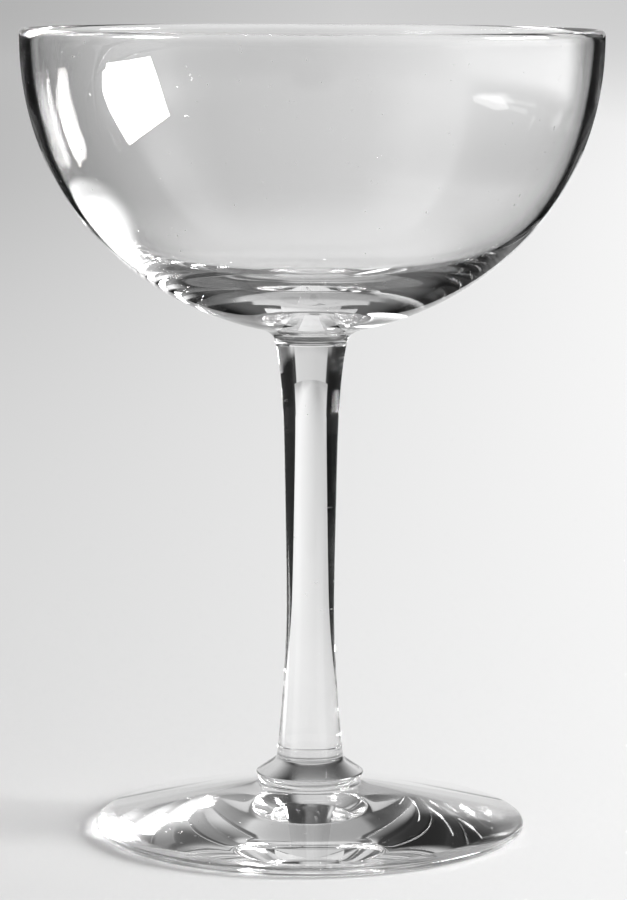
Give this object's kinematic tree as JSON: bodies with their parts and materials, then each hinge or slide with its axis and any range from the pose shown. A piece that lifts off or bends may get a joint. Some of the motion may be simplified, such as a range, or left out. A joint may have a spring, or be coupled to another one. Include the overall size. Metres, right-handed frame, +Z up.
{
  "type": "sherbet glass",
  "caption": "Stemmed clear crystal sherbet glass: a deep round bowl on a waisted stem with a small collar and a low conical foot, for iced desserts or sparkling wine.",
  "frame": {"origin": "on the table, under the middle of the foot", "axes": "+Z up along the stem's axis, towards the rim; the glass is round about it"},
  "size_m": [0.096, 0.096, 0.1334],
  "materials": {
    "clear_crystal": "clear, fire polished"
  },
  "bodies": {
    "root": {"bowl": "clear_crystal", "stem": "clear_crystal", "collar": "clear_crystal", "foot": "clear_crystal"}
  },
  "joints": []
}
